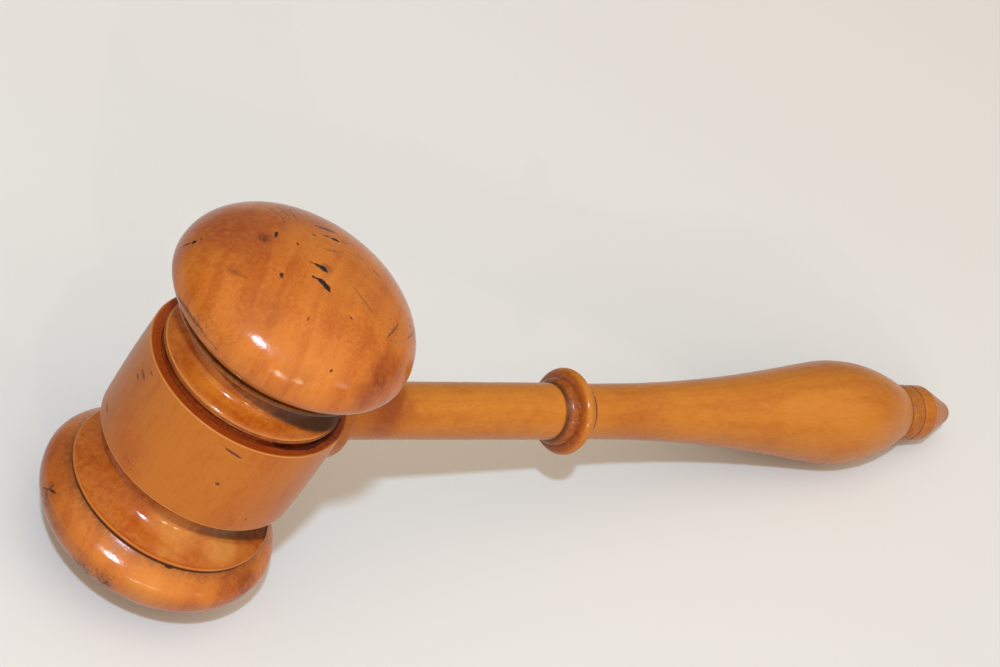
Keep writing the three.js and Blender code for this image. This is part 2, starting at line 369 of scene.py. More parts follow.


# The wood itself. Place is in mm with the grain along Z. The growth rings lie round
# the pith and the rays run out from it. Varnish has darkened unevenly, and dirt
# has settled in the pores, in the knocks and in turned grooves, where painted shade
# darkens them too. Besides real dirt, redness and wear, the darkening, reddening
# and paling inputs carry painted shade and painted highlights. The shares say how
# far each pattern takes the tone from honey to amber.
cloud_share = 0.42
ring_share = 0.26
mottle_share = 0.8
speckle_share = 0.7
ring_wander = 4
cloud_stretch = 1.8
fibre_red = 0.15
pore_dirt = 0.10
wear_broken = 0.6
soil_broken = 0.5
dirt_cover = 0.9
dirt_dulling = 0.2
mottle_dulling = 0.08
speckle_relief = 0.3
fibre_relief = 0.25
pore_relief = 0.25
knock_relief = 3
knock_color = (0.010, 0.006, 0.006, 1)
aged, given = shader_group("aged wood", {
    "Place": "Vector", "Seed": "Vector", "Pith": "Vector", "Ring Width": "Float",
    "Cloud Size": "Float", "Ray Strength": "Float", "Honey": "Color", "Amber": "Color",
    "Red": "Color", "Dirt": "Color", "Pale": "Color", "Redness": "Float", "Soil": "Float",
    "Wear": "Float", "Knocks": "Float", "Gloss Loss": "Float",
}, {"Color": "Color", "Roughness": "Float", "Height": "Float"})
wood_at = vectors(aged, "ADD", given["Place"], given["Seed"])
off_pith = vectors(aged, "SUBTRACT", given["Place"], given["Pith"])
from_pith = vectors(aged, "MULTIPLY", off_pith, Vector((1, 1, 0)))
wander = noise(aged, wood_at, (0.07, 0.07, 0.02), 2)[0]
wavy_distance = total(aged, vectors(aged, "LENGTH", from_pith, result="Value"),
                      maths(aged, "MULTIPLY", wander, ring_wander))
ring_noise = put(aged, "ShaderNodeTexNoise", {
    "W": maths(aged, "DIVIDE", wavy_distance, given["Ring Width"]), "Scale": 1.0,
    "Detail": 2.0, "Roughness": 0.6}, noise_dimensions="1D")
rings = soft_step(aged, ring_noise.outputs[0], 0.35, 0.65)
ray_noise = noise(aged, vectors(aged, "NORMALIZE", from_pith), (11, 11, 11), 2, 0.6)
rays = soft_step(aged, ray_noise[0], 0.38, 0.62)
cloud_spread = put(aged, "ShaderNodeCombineXYZ", {
    "X": given["Cloud Size"], "Y": given["Cloud Size"],
    "Z": maths(aged, "MULTIPLY", given["Cloud Size"], cloud_stretch)}).outputs[0]
cloud_at = vectors(aged, "DIVIDE", wood_at, cloud_spread)
clouds = soft_step(aged, noise(aged, cloud_at, (1, 1, 1), 5, 0.62, 0.5)[0], 0.34, 0.68)
fibres = noise(aged, wood_at, (1.7, 1.7, 0.10), 3, 0.6)[0]
mottle = noise(aged, wood_at, (0.9, 0.9, 0.45), 3, 0.65)[0]
pores = soft_step(aged, noise(aged, wood_at, (3.4, 3.4, 0.55), 1)[0], 0.60, 0.74)
speckle = noise(aged, wood_at, (2.4, 2.4, 1.5), 2, 0.7)[0]
tone = total(
    aged, maths(aged, "MULTIPLY", clouds, cloud_share),
    maths(aged, "MULTIPLY", rings, ring_share), about_middle(aged, rays, given["Ray Strength"]),
    about_middle(aged, mottle, mottle_share), about_middle(aged, speckle, speckle_share))
colour = tinted(aged, soft_step(aged, tone, 0, 1), given["Honey"], given["Amber"])
redness = maths(aged, "MULTIPLY", given["Redness"], soft_step(aged, mottle, 0.2, 0.7, 0.6, 1))
colour = tinted(aged, redness, colour, given["Red"])
colour = tinted(aged, soft_step(aged, fibres, 0.45, 0.75, 0, fibre_red), colour, given["Red"])
colour = tinted(aged, maths(aged, "MULTIPLY", pores, pore_dirt), colour, given["Dirt"])
wear_at = total(aged, given["Wear"], about_middle(aged, mottle, wear_broken))
colour = tinted(aged, soft_step(aged, wear_at, 0.1, 0.9), colour, given["Pale"])
soil_at = total(aged, given["Soil"], about_middle(aged, mottle, soil_broken))
soiled = maths(aged, "MULTIPLY", soft_step(aged, soil_at, 0.2, 1.0), dirt_cover)
colour = tinted(aged, soiled, colour, given["Dirt"])
colour = tinted(aged, given["Knocks"], colour, knock_color)
gloss_loss = total(
    aged, given["Gloss Loss"], maths(aged, "MULTIPLY", mottle, mottle_dulling),
    maths(aged, "MULTIPLY", maths(aged, "ADD", soiled, given["Knocks"]), dirt_dulling))
raised = total(
    aged, noise(aged, wood_at, (0.9, 0.9, 0.9), 4, 0.7)[0],
    maths(aged, "MULTIPLY", speckle, speckle_relief),
    maths(aged, "MULTIPLY", fibres, fibre_relief))
hollows = total(aged, maths(aged, "MULTIPLY", pores, pore_relief),
                maths(aged, "MULTIPLY", given["Knocks"], knock_relief))
height = maths(aged, "SUBTRACT", raised, hollows)
put(aged, "NodeGroupOutput", {"Color": colour, "Roughness": gloss_loss, "Height": height})

# An unsteady place, so that the outline of a knock or a scuff is never smooth.
sway_mm = 0.3
crooked, given = shader_group("crooked place", {"Place": "Vector"}, {"Place": "Vector"})
sway = noise(crooked, given["Place"], (1.1, 1.1, 1.1), 3, 0.65)[1]
put(crooked, "NodeGroupOutput", {0: vectors(crooked, "ADD", given["Place"], vectors(
    crooked, "MULTIPLY", vectors(crooked, "SUBTRACT", sway, Vector((0.5, 0.5, 0.5))),
    Vector((sway_mm, sway_mm, sway_mm))))})

# A knock: a short dark cut from Start to End, thickest in its middle.
knock, given = shader_group("knock", {
    "Place": "Vector", "Start": "Vector", "End": "Vector", "Width": "Float",
}, {"Mask": "Float"})
along = vectors(knock, "SUBTRACT", given["End"], given["Start"])
from_start = vectors(knock, "SUBTRACT", given["Place"], given["Start"])
share = put(knock, "ShaderNodeClamp", {0: maths(
    knock, "DIVIDE", vectors(knock, "DOT_PRODUCT", from_start, along, result="Value"),
    vectors(knock, "DOT_PRODUCT", along, along, result="Value"))}).outputs[0]
aside = put(knock, "ShaderNodeVectorMath", {0: along, "Scale": share}, operation="SCALE")
reach = vectors(knock, "DISTANCE", from_start, aside.outputs[0], result="Value")
off_middle = maths(knock, "ABSOLUTE", maths(knock, "MULTIPLY_ADD", share, 2, -1))
thick = maths(knock, "MULTIPLY", given["Width"], soft_step(
    knock, off_middle, 0.2, 1.15, 1, 0.35))
put(knock, "NodeGroupOutput", {0: soft_step(
    knock, maths(knock, "DIVIDE", reach, thick), 0.55, 1.1, 1, 0)})

# A scuff: a stained or worn spot round its Centre, solid or broken into flecks.
scuff, given = shader_group("scuff", {
    "Place": "Vector", "Centre": "Vector", "Size": "Float", "Flecks": "Float",
    "Raggedness": "Float",
}, {"Mask": "Float"})
from_centre = vectors(scuff, "DISTANCE", given["Place"], given["Centre"], result="Value")
edge = noise(scuff, given["Place"], (0.22, 0.22, 0.22), 3, 0.6)[0]
spread = total(scuff, maths(scuff, "DIVIDE", from_centre, given["Size"]),
               about_middle(scuff, edge, given["Raggedness"]))
crumbs = noise(scuff, given["Place"], (1.5, 1.5, 1.5), 3, 0.7, 0.8)[0]
flecks = soft_step(scuff, crumbs, 0.53, 0.64)
solid = maths(scuff, "SUBTRACT", 1, given["Flecks"])
broken = total(scuff, solid, maths(scuff, "MULTIPLY", flecks, given["Flecks"]))
put(scuff, "NodeGroupOutput", {0: maths(
    scuff, "MULTIPLY", soft_step(scuff, spread, 0.2, 1.15, 1, 0), broken)})


def set_group(tree, group, **sockets):
    """Put a shader node group in a material, its inputs named with _ for spaces."""
    node = tree.nodes.new("ShaderNodeGroup")
    node.node_tree = group
    for label, value in sockets.items():
        label = label.replace("_", " ")
        if isinstance(value, bpy.types.NodeSocket):
            tree.links.new(value, node.inputs[label])
        else:
            node.inputs[label].default_value = value
    return node


def varnished(name, turned_by=rest_tilt):
    """A material, its tree and shader, the place on the piece in mm along its own
    axis, and the same place made crooked."""
    wood = bpy.data.materials.new(name)
    wood.use_nodes = True
    tree = wood.node_tree
    shader = tree.nodes["Principled BSDF"]
    place = put(tree, "ShaderNodeMapping", {
        "Vector": put(tree, "ShaderNodeTexCoord").outputs["Object"],
        "Location": rest_place, "Rotation": (0, turned_by, 0), "Scale": (mm, mm, mm),
    }, vector_type="TEXTURE").outputs[0]
    return wood, tree, shader, place, set_group(tree, crooked, Place=place).outputs[0]


def strongest(tree, *masks):
    """The strongest of some masks, each of them given with its strength."""
    result = 0.0
    for mask, strength in masks:
        result = maths(tree, "MAXIMUM", result, maths(tree, "MULTIPLY", mask, strength))
    return result


def knocked(tree, place, knocks):
    """The masks of the knocks (start, end, width, depth, darkness) at a place."""
    return [(set_group(tree, knock, Place=place, Start=a, End=b, Width=width).outputs[0], dark)
            for a, b, width, depth, dark in knocks]


def scuffed(tree, place, scuffs, raggedness=1.2):
    """The masks of the scuffs (centre, size, flecks, strength) at a place."""
    return [(set_group(tree, scuff, Place=place, Centre=centre, Size=size, Flecks=flecks,
                       Raggedness=raggedness).outputs[0], strength)
            for centre, size, flecks, strength in scuffs]


def finish_wood(tree, shader, relief, more_soil=(), more_wear=(), **sockets):
    """Give the shader the aged wood's colour, gloss and relief. The profile's dirt and
    shade value darkens the wood, and below zero it is wear and painted highlight."""
    soil = put(tree, "ShaderNodeAttribute", attribute_name="soil").outputs["Fac"]
    wood = set_group(tree, aged, Soil=strongest(tree, (soil, 1), *more_soil),
                     Wear=strongest(tree, (soil, -1), *more_wear), **sockets)
    tree.links.new(wood.outputs["Color"], shader.inputs["Base Color"])
    tree.links.new(wood.outputs["Roughness"], shader.inputs["Roughness"])
    bump = put(tree, "ShaderNodeBump", {
        "Height": wood.outputs["Height"], "Distance": relief * mm, "Strength": 1.0})
    tree.links.new(bump.outputs[0], shader.inputs["Normal"])


def round_head(turned, out, height):
    """A place at an angle round the head, a distance out from its axis and a height."""
    angle = math.radians(turned)
    return Vector((out * math.cos(angle), out * math.sin(angle), height))


def on_barrel(turned, height):
    """A place on the barrel's side, at an angle round the head and a height."""
    return round_head(turned, barrel_radius, height)


barrel_knocks = [
    (on_barrel(-129, 9.9), on_barrel(-115, 8.9), 0.36, 0.12, 0.75),
    (on_barrel(-120.5, 0.3), on_barrel(-118.5, 0.1), 0.6, 0.1, 0.75),
    (on_barrel(166.5, 5.4), on_barrel(171.5, 5.4), 0.45, 0.05, 0.5),
    (on_barrel(167.5, 7.6), on_barrel(175, 7.0), 0.5, 0.06, 0.55),
    (on_barrel(173.5, 9.9), on_barrel(178.5, 9.8), 0.45, 0.05, 0.5),
    (on_barrel(-93, -7.4), on_barrel(-92, -9.2), 0.3, 0.05, 0.55),
    (on_barrel(-98, -10.1), on_barrel(-99, -10.8), 0.25, 0, 1),
    (on_barrel(-165, -9.2), on_barrel(-164, -9.5), 0.3, 0, 1),
    (on_barrel(-161, -10.1), on_barrel(-160, -10.4), 0.3, 0, 1),
    (on_barrel(156, -8.9), on_barrel(163.5, -8.8), 0.7, 0.05, 0.45),
    (on_barrel(60, 6.5), on_barrel(64, 5.6), 0.4, 0.08, 1),
    (on_barrel(92, -3.2), on_barrel(93, -3.4), 0.4, 0.05, 1),
]
barrel_scuffs = [
    (on_barrel(170, 6.5), 3.5, 1, 0.35),
    (on_barrel(-168, -9.0), 4.0, 1, 0.30),
    (on_barrel(-95, -9.0), 3.5, 1, 0.30),
    (on_barrel(75, 3.0), 5.0, 1, 0.30),
]
barrel_stains = [
    (on_barrel(-172, -7), 8.0, 0, 0.35),
    (on_barrel(120, 4), 12.0, 0, 0.3),
]
# Dark strokes on the land under the neck's disc: dirt and painted shade.
land_strokes = [
    (round_head(-104, 20.2, 11.9), round_head(-72, 21.5, 11.9), 1.6, 0, 1.2),
    (round_head(-78, 21.4, 11.9), round_head(-36, 21.8, 11.9), 1.9, 0, 1.2),
]
edge_radius = barrel_radius - barrel_bulge
barrel_wood, tree, shader, place, crooked_place = varnished("barrel wood")
shader.inputs["Specular IOR Level"].default_value = 0.28
out_from_axis = vectors(tree, "LENGTH", vectors(
    tree, "MULTIPLY", place, Vector((1, 1, 0))), result="Value")
on_end = soft_step(tree, out_from_axis, edge_radius - 0.3, edge_radius - 0.7)
# Painted shade on the land at its end towards the handle.
land_smudge = (round_head(-60, 21, 12), 14.0, 0, maths(tree, "MULTIPLY", on_end, 0.5))
finish_wood(
    tree, shader, 0.012, Place=place, Seed=(31, 7, 55), Pith=(34, 22, 0), Ring_Width=4.0,
    Cloud_Size=7.0, Ray_Strength=0.10,
    Honey=(0.53, 0.165, 0.020, 1), Amber=(0.44, 0.112, 0.011, 1),
    Red=(0.42, 0.056, 0.008, 1), Dirt=(0.062, 0.015, 0.013, 1), Pale=(0.66, 0.25, 0.06, 1),
    Redness=strongest(tree, *scuffed(tree, place, barrel_stains, 0.8), (on_end, 1.0)),
    more_soil=scuffed(tree, place, [land_smudge], 0.5) + knocked(
        tree, crooked_place, land_strokes),
    Knocks=strongest(tree, *knocked(tree, crooked_place, barrel_knocks),
                     *scuffed(tree, crooked_place, barrel_scuffs)),
    Gloss_Loss=maths(tree, "MULTIPLY_ADD", on_end, -0.16, 0.26))

groove_outer = edge_radius - end_land
groove_inner = groove_outer - end_groove_width
end_floor = barrel_half_height - end_dish
groove_floor = end_floor - end_groove_depth
# In this profile the groove and the land beside it are darkened by dirt and by painted shade
# under the neck's disc, and the pale corner is wear with a painted highlight.
barrel_top = drawn([
    (0, neck_bore_floor, 0, 0),
    (neck_bore_radius, neck_bore_floor, 0, 0),
    (neck_bore_radius, end_floor, 0, 0.4),
    (groove_inner, end_floor, 0.2, 0.5),
    (groove_inner + groove_lean, groove_floor, 0.2, 0.4),
    (groove_outer - groove_lean, groove_floor, 0.2, 0.5),
    (groove_outer, end_floor, 0.3, 0.6),
    (groove_outer + land_dirt, end_floor, 0, 0),
    (edge_radius - edge_strip, barrel_half_height - land_fall, 0, 0),
    (edge_radius, barrel_half_height, barrel_edge_round, -0.75),
    (edge_radius, barrel_half_height - edge_strip, 0, 0),
])
side_foot = barrel_top[-1].y
side_count = 40
barrel_side = []
for k in range(1, side_count):
    height = side_foot * (1 - 2 * k / side_count)
    swell = barrel_bulge * (1 - (height / side_foot) ** 2)
    barrel_side.append(Vector((edge_radius + swell, height, 0)))
barrel_foot = [Vector((p.x, -p.y, p.z)) for p in reversed(barrel_top)]
barrel_profile = close_set(barrel_top + barrel_side + barrel_foot)
barrel = turn("turned_barrel", barrel_profile, barrel_sides, barrel_wood)
seat(barrel, rest_turn, "head_barrel", barrel_knocks)


# Necks. Two waisted spools between barrel and caps, each turned with a sharp disc
# over the barrel's groove and a rounded lip under the cap. They are glued in the
# barrel's ends, and their thick glossy varnish is redder in the hollows.
neck_height = 14.2
neck_foot_inset = 0.6
disc_overhang = 0.5
disc_height = 1.5
disc_edge = 1.05
waist_share = 0.474
waist_depth = 6.8
waist_ease = 0.5
lip_flare_run = 3.9
lip_flare_drop = 1.9
disc_flare_run = 2.1
disc_flare_rise = 2.9
lip_thickness = 1.1
lip_round = 0.5
glint_ridge = 0.14
neck_sides = 384
cap_bore_radius = 8.3
cap_spigot_length = 8
neck_seat = end_floor + glue_gap
neck_top = neck_seat + neck_height
cap_seat = neck_top + glue_gap
disc_radius = groove_outer + disc_overhang
waist_radius = barrel_radius - waist_depth
lip_foot = neck_top - lip_thickness
disc_top = neck_seat + disc_height
waist = disc_top + (lip_foot - disc_top) * waist_share


def bent(a, b, c, d, soils, count=24):
    """A cubic curve in a profile, with the dirt and shade value changing evenly along it."""
    points = []
    for k in range(1, count):
        t = k / count
        weights = ((1 - t) ** 3, 3 * t * (1 - t) ** 2, 3 * t * t * (1 - t), t ** 3)
        radius = sum(w * p[0] for w, p in zip(weights, (a, b, c, d)))
        height = sum(w * p[1] for w, p in zip(weights, (a, b, c, d)))
        points.append(Vector((radius, height, soils[0] + (soils[1] - soils[0]) * t)))
    return points


neck_wear = [
    (round_head(-118, 18, -20), 10.0, 0, 0.5),
    (round_head(-80, 19, -20), 10.0, 0, 0.6),
]
neck_stains = [
    (round_head(178, 20, 19), 9.0, 0, 0.7),
    (round_head(176, 20, -21), 10.0, 0, 0.5),
    (round_head(-60, 20, 16), 7.0, 0, 0.5),
    (round_head(-95, 18.5, 16.5), 7.0, 0, 0.6),
    (round_head(60, 20, 20), 12.0, 0, 0.5),
    (round_head(40, 20, -20), 12.0, 0, 0.5),
]
neck_marks = [
    (round_head(-115, 23.6, -26.6), 0.9, 0, 0.9),
    (round_head(-60, 22, 24), 6.0, 1, 0.5),
]
neck_wood, tree, shader, place, crooked_place = varnished("neck wood")
shader.inputs["Specular IOR Level"].default_value = 0.36
height = put(tree, "ShaderNodeSeparateXYZ", {0: place}).outputs["Z"]

# Painted shade: on the front side each neck is darkened in its hollow above a slanting
# line, for the cap's shadow on the upper neck and the shade under the barrel's edge on
# the lower neck. It is strongest on the side towards the handle.
slant = how_far(tree, place, (0.17, -0.045, 1))
low_slant = how_far(tree, place, (0.195, 0.28, 1))
to_handle = how_far(tree, place, (1, 0, 0))
front_side = soft_step(tree, how_far(tree, place, (0.3, 1, 0)), 3, -9)
shaded_side = maths(tree, "MULTIPLY", front_side, soft_step(tree, to_handle, -14, 2, 0.65, 1))
low_side = maths(tree, "MULTIPLY", front_side, soft_step(tree, to_handle, -15, 4, 0.35, 0.8))
low_shade = maths(tree, "MULTIPLY", low_side, soft_step(tree, height, -5, -10))
finish_wood(
    tree, shader, 0.015, Place=place, Seed=(5, 61, 14), Pith=(30, 26, 0), Ring_Width=2.0,
    Cloud_Size=8.0, Ray_Strength=0.2,
    Honey=(0.64, 0.200, 0.020, 1), Amber=(0.44, 0.085, 0.005, 1),
    Red=(0.33, 0.050, 0.008, 1), Dirt=(0.032, 0.010, 0.002, 1), Pale=(0.72, 0.30, 0.06, 1),
    more_soil=[(soft_step(tree, slant, 16.8, 17.7), shaded_side),
               (soft_step(tree, low_slant, -27.1, -26.1), low_shade)],
    more_wear=scuffed(tree, place, neck_wear, 0.9),
    Redness=strongest(tree, *scuffed(tree, place, neck_stains, 0.7),
                      (soft_step(tree, height, 17.0, 15.2), 0.5)),
    Knocks=strongest(tree, *scuffed(tree, crooked_place, neck_marks)),
    Gloss_Loss=0.09)

# In this profile the lip's lower corner and the disc's top corner are pale as painted highlights,
# the hollow under the lip has dirt and painted shade, and the disc's edge face and underside are
# painted shade.
neck_profile = drawn([
    (0, cap_seat - cap_spigot_length - glue_gap, 0, 0),
    (cap_bore_radius, cap_seat - cap_spigot_length - glue_gap, 0, 0),
    (cap_bore_radius, neck_top, 0, 1),
    (barrel_radius, neck_top, lip_round, 0.75),
    (barrel_radius, lip_foot, 0.45, -0.35),
    (barrel_radius - lip_round, lip_foot, 0, 0.2),
])
neck_profile += bent(
    (barrel_radius - lip_round, lip_foot),
    (barrel_radius - lip_flare_run, lip_foot - lip_flare_drop),
    (waist_radius, waist + (lip_foot - waist) * waist_ease),
    (waist_radius, waist), (0.3, 0.1))
neck_profile += bent(
    (waist_radius, waist),
    (waist_radius, waist - (waist - disc_top) * waist_ease),
    (disc_radius - disc_flare_run, disc_top + disc_flare_rise),
    (disc_radius, disc_top + disc_edge), (0.1, 0))[:-1]
neck_profile += drawn([
    (disc_radius, disc_top + disc_edge, 0.1, -0.7),
    (disc_radius, disc_top + disc_edge - 0.15, 0, 0.45),
    (disc_radius, disc_top + 0.5, 0.1, 0.6),
    (disc_radius + glint_ridge, disc_top + 0.2, 0.12, 0.55),
    (disc_radius, disc_top, 0.15, 0.8),
    (groove_inner - neck_foot_inset, neck_seat, 0, 0.8),
    (neck_bore_radius - glue_gap, neck_seat, 0, 0),
    (neck_bore_radius - glue_gap, neck_bore_floor + glue_gap, 0, 0),
    (0, neck_bore_floor + glue_gap, 0, 0),
])
neck_profile = close_set(neck_profile)
turned_over = Matrix.Rotation(math.pi, 4, "X")
upper_neck = turn("turned_upper_neck", neck_profile, neck_sides, neck_wood)
seat(upper_neck, rest_turn, "upper_neck")
lower_neck = turn("turned_lower_neck", neck_profile, neck_sides, neck_wood)
seat(lower_neck, rest_turn @ turned_over, "lower_neck")


# Striking caps. Two mushroom domes of the same wood, end grain outwards, with a
# rounded rim and a spigot that is glued in the neck. Use has left small dark
# knocks and scratches on them.
cap_overhang = 4.2
cap_seam_inset = 0.4
cap_shoulder_height = 5.4
cap_shoulder_drop = 2.4
cap_foot_flare = 1.6
dome_rise = 14.4
dome_exponent = 2.1
dome_steps = 60
cap_sides = 480
cap_radius = barrel_radius + cap_overhang
cap_rim = cap_seat + cap_shoulder_height
cap_foot_radius = barrel_radius - cap_seam_inset


def on_dome(turned, out, side=1):
    """A place on a dome, at an angle round the head and a distance from its middle."""
    up = (1 - (out / cap_radius) ** dome_exponent) ** (1 / dome_exponent)
    return round_head(turned, out, side * (cap_rim + dome_rise * up))


dome_knocks = [
    (on_dome(149, 27.6), on_dome(150, 26.6), 0.25, 0, 1),
    (on_dome(150, 26.5), on_dome(150, 25.8), 0.6, 0.15, 1),
    (on_dome(149, 25.2), on_dome(150, 25.0), 0.25, 0, 1),
    (on_dome(126, 12.2), on_dome(136, 11.8), 0.45, 0.12, 0.95),
    (on_dome(142, 13.9), on_dome(150, 13.6), 0.35, 0.05, 0.6),
    (on_dome(125, 7.4), on_dome(130, 7.0), 0.42, 0.08, 0.8),
    (on_dome(104, 14.2), on_dome(106, 13.3), 0.35, 0.05, 0.5),
    (on_dome(55, 10.4), on_dome(43, 11.1), 0.6, 0.15, 1),
    (on_dome(44, 11), on_dome(31, 14.6), 0.2, 0, 0.5),
    (on_dome(24, 11.6), on_dome(14, 12.4), 0.2, 0, 0.5),
    (on_dome(174, 4.4), on_dome(-178, 3.0), 0.28, 0, 0.6),
    (on_dome(-178, 3.1), on_dome(-140, 1.8), 0.6, 0.05, 1),
    (on_dome(-166, 2.1), on_dome(-112, 2.4), 0.95, 0.15, 1),
    (on_dome(-147, 6.3), on_dome(-141, 6.1), 0.42, 0.1, 1),
    (on_dome(-144, 6.1), on_dome(-128, 5.8), 0.4, 0, 1),
    (on_dome(-136, 5.8), on_dome(-113, 6.4), 0.85, 0.12, 1),
    (on_dome(-122, 5.8), on_dome(-109.5, 7.8), 0.95, 0.12, 1),
    (on_dome(-170, 11.9), on_dome(-166.5, 12.8), 0.5, 0.12, 0.95),
    (on_dome(-167, 12.8), on_dome(-165, 12.4), 0.35, 0.05, 0.9),
    (on_dome(-176, 13.2), on_dome(-175, 13.1), 0.25, 0.05, 0.6),
    (on_dome(-88, 13.8), on_dome(-87, 13.6), 0.5, 0.12, 1),
    (on_dome(-126, 16.0), on_dome(-127, 17.3), 0.28, 0.05, 0.5),
    (on_dome(-105, 24.2), on_dome(-106, 24.7), 0.28, 0.05, 1),
    (on_dome(100, 20.4), on_dome(102, 14.2), 0.25, 0, 0.6),
    (on_dome(92, 19.6), on_dome(94, 15.2), 0.22, 0, 0.6),
    (on_dome(3, 13.1), on_dome(-6, 15), 0.25, 0, 0.6),
    (on_dome(86, 18.5), on_dome(89, 13.5), 0.22, 0, 0.6),
    (on_dome(32, 9), on_dome(10, 12.3), 0.3, 0, 0.35),
    (on_dome(-61, 19.5), on_dome(-41, 19.7), 0.4, 0.03, 0.5),
    (on_dome(-41, 23), on_dome(-22, 25.9), 0.4, 0.03, 0.5),
    (on_dome(-54, 7.2), on_dome(-60, 13.7), 0.45, 0, 0.3),
    (on_dome(175, 21.6), on_dome(-175, 19.2), 0.8, 0, 0.22),
]
dirt_strokes = [
    (on_dome(71, 13.2), on_dome(50, 14.0), 0.7, 0, 0.9),
    (on_dome(66, 9.9), on_dome(55, 10.5), 0.45, 0, 0.9),
    (on_dome(83, 8.9), on_dome(77, 8.8), 0.4, 0, 0.8),
    (on_dome(66, 4.8), on_dome(35, 6.4), 0.35, 0, 0.6),
    (round_head(171, 27.9, 31.2), round_head(-177, 28, 32.5), 0.5, 0, 0.7),
    (round_head(178, 28, 32.2), round_head(-166, 28, 32.6), 0.6, 0, 0.75),
    (round_head(-172, 28, 32.7), round_head(-155, 28, 32.2), 0.4, 0, 0.65),
    (round_head(176, 28, 31.8), round_head(-160, 28, 32.2), 1.5, 0, 0.4),
    (round_head(40, 28, 31.0), round_head(52, 28, 31.6), 1.0, 0, 0.5),
]
low_knocks = [
    (round_head(171.5, 27.8, -31.4), round_head(167.5, 28.0, -33.0), 0.32, 0.05, 0.8),
    (round_head(171, 27.8, -31.2), round_head(176, 27.3, -29.9), 0.36, 0.05, 0.85),
    (round_head(172, 27.8, -31.5), round_head(170, 27.0, -29.4), 0.28, 0, 0.75),
    (round_head(171, 27.9, -31.6), round_head(175, 28.0, -33.1), 0.4, 0.05, 0.7),
    (round_head(173, 27.7, -34.3), round_head(177, 27.9, -33.2), 0.4, 0, 0.5),
    (round_head(-118, 23.6, -26.7), round_head(-112, 23.6, -26.8), 0.42, 0.1, 0.95),
    (on_dome(-149, 25.6, -1), on_dome(-147, 26.4, -1), 0.35, 0.05, 0.85),
    (on_dome(-137, 27.6, -1), on_dome(-139, 26.8, -1), 0.35, 0.05, 0.85),
    (on_dome(30, 6, -1), on_dome(55, 7, -1), 0.6, 0.2, 0.85),
    (on_dome(-140, 9, -1), on_dome(-131, 10, -1), 0.5, 0.15, 0.85),
    (on_dome(100, 14, -1), on_dome(103, 15, -1), 0.5, 0.15, 0.85),
]
cap_scuffs = [
    (on_dome(144, 13.9), 1.7, 0.6, 0.75),
    (on_dome(-112, 1.5), 1.7, 0.4, 0.7),
    (on_dome(60, 12.8), 3.2, 1, 0.4),
    (on_dome(-52, 19.5), 4.2, 1, 0.55),
    (on_dome(-30, 24.5), 3.2, 1, 0.6),
    (on_dome(-55, 10.5), 5.0, 1, 0.25),
    (on_dome(96, 17), 5.0, 1, 0.3),
    (round_head(-168, 28, 32), 6.0, 1, 0.35),
    (round_head(174, 28, -32.5), 3.6, 0.7, 0.5),
    (on_dome(-143, 26.5, -1), 6.0, 1, 0.75),
    (on_dome(40, 9, -1), 7.0, 1, 0.5),
    (round_head(60, 28, 32), 8.0, 1, 0.4),
]
# The large patch on the upper dome at 137 degrees is partly a stain and partly painted shade.
red_stains = [
    (on_dome(137, 20), 15.0, 0, 0.85),
    (on_dome(-152, 22), 7.0, 0, 0.45),
    (on_dome(-76, 25.5), 5.5, 0, 0.9),
    (round_head(152, 26, -29), 10.0, 0, 0.7),
    (round_head(-72, 26.5, -30), 9.0, 0, 0.75),
    (round_head(-170, 27, -32), 7.0, 0, 0.4),
    (on_dome(80, 18), 9.0, 0, 0.6),
    (on_dome(176, 20.5), 2.4, 0, 0.6),
    (on_dome(-67, 24.5), 4.6, 0, 0.75),
    (on_dome(-83, 27.2), 5.0, 0, 0.8),
    (on_dome(-120, 26.8), 4.0, 0, 0.4),
    (round_head(172, 26.5, -30), 8.0, 0, 0.6),
    (on_dome(-100, 25, -1), 9.0, 0, 0.5),
    (on_dome(20, 20, -1), 14.0, 0, 0.5),
]
cap_dirt = [
    (on_dome(-78, 26.3), 4.5, 0, 0.5),
    (round_head(-66, 26.5, -30), 6.0, 0, 0.45),
    (on_dome(50, 20), 8.0, 0, 0.35),
    (round_head(-177, 27.6, -34.5), 4.5, 0.3, 0.6),
    (round_head(-152, 26.2, -37.2), 5.0, 0.3, 0.85),
    (round_head(-139, 27.2, -36.0), 4.0, 0.4, 0.85),
]
cap_wear = [
    (on_dome(-115, 26), 9.0, 0, 0.35),
    (on_dome(-75, 6), 9.0, 0, 0.3),
    (round_head(-119, 27.8, -32), 10.0, 0, 0.45),
]
cap_wood, tree, shader, place, crooked_place = varnished("cap wood")
shader.inputs["Specular IOR Level"].default_value = 0.4
finish_wood(
    tree, shader, 0.040, Place=place, Seed=(0, 0, 0), Pith=(81, -74, 0), Ring_Width=3.6,
    Cloud_Size=16.0, Ray_Strength=0.15,
    Honey=(0.60, 0.182, 0.024, 1), Amber=(0.42, 0.088, 0.007, 1),
    Red=(0.30, 0.056, 0.012, 1), Dirt=(0.060, 0.022, 0.012, 1), Pale=(0.74, 0.29, 0.05, 1),
    more_soil=knocked(tree, crooked_place, dirt_strokes) + scuffed(
        tree, place, cap_dirt, 0.9),
    more_wear=scuffed(tree, place, cap_wear, 0.9),
    Redness=strongest(tree, *scuffed(tree, place, red_stains, 0.6)),
    Knocks=strongest(
        tree, *knocked(tree, crooked_place, dome_knocks + low_knocks),
        *scuffed(tree, crooked_place, cap_scuffs)),
    Gloss_Loss=0.085)

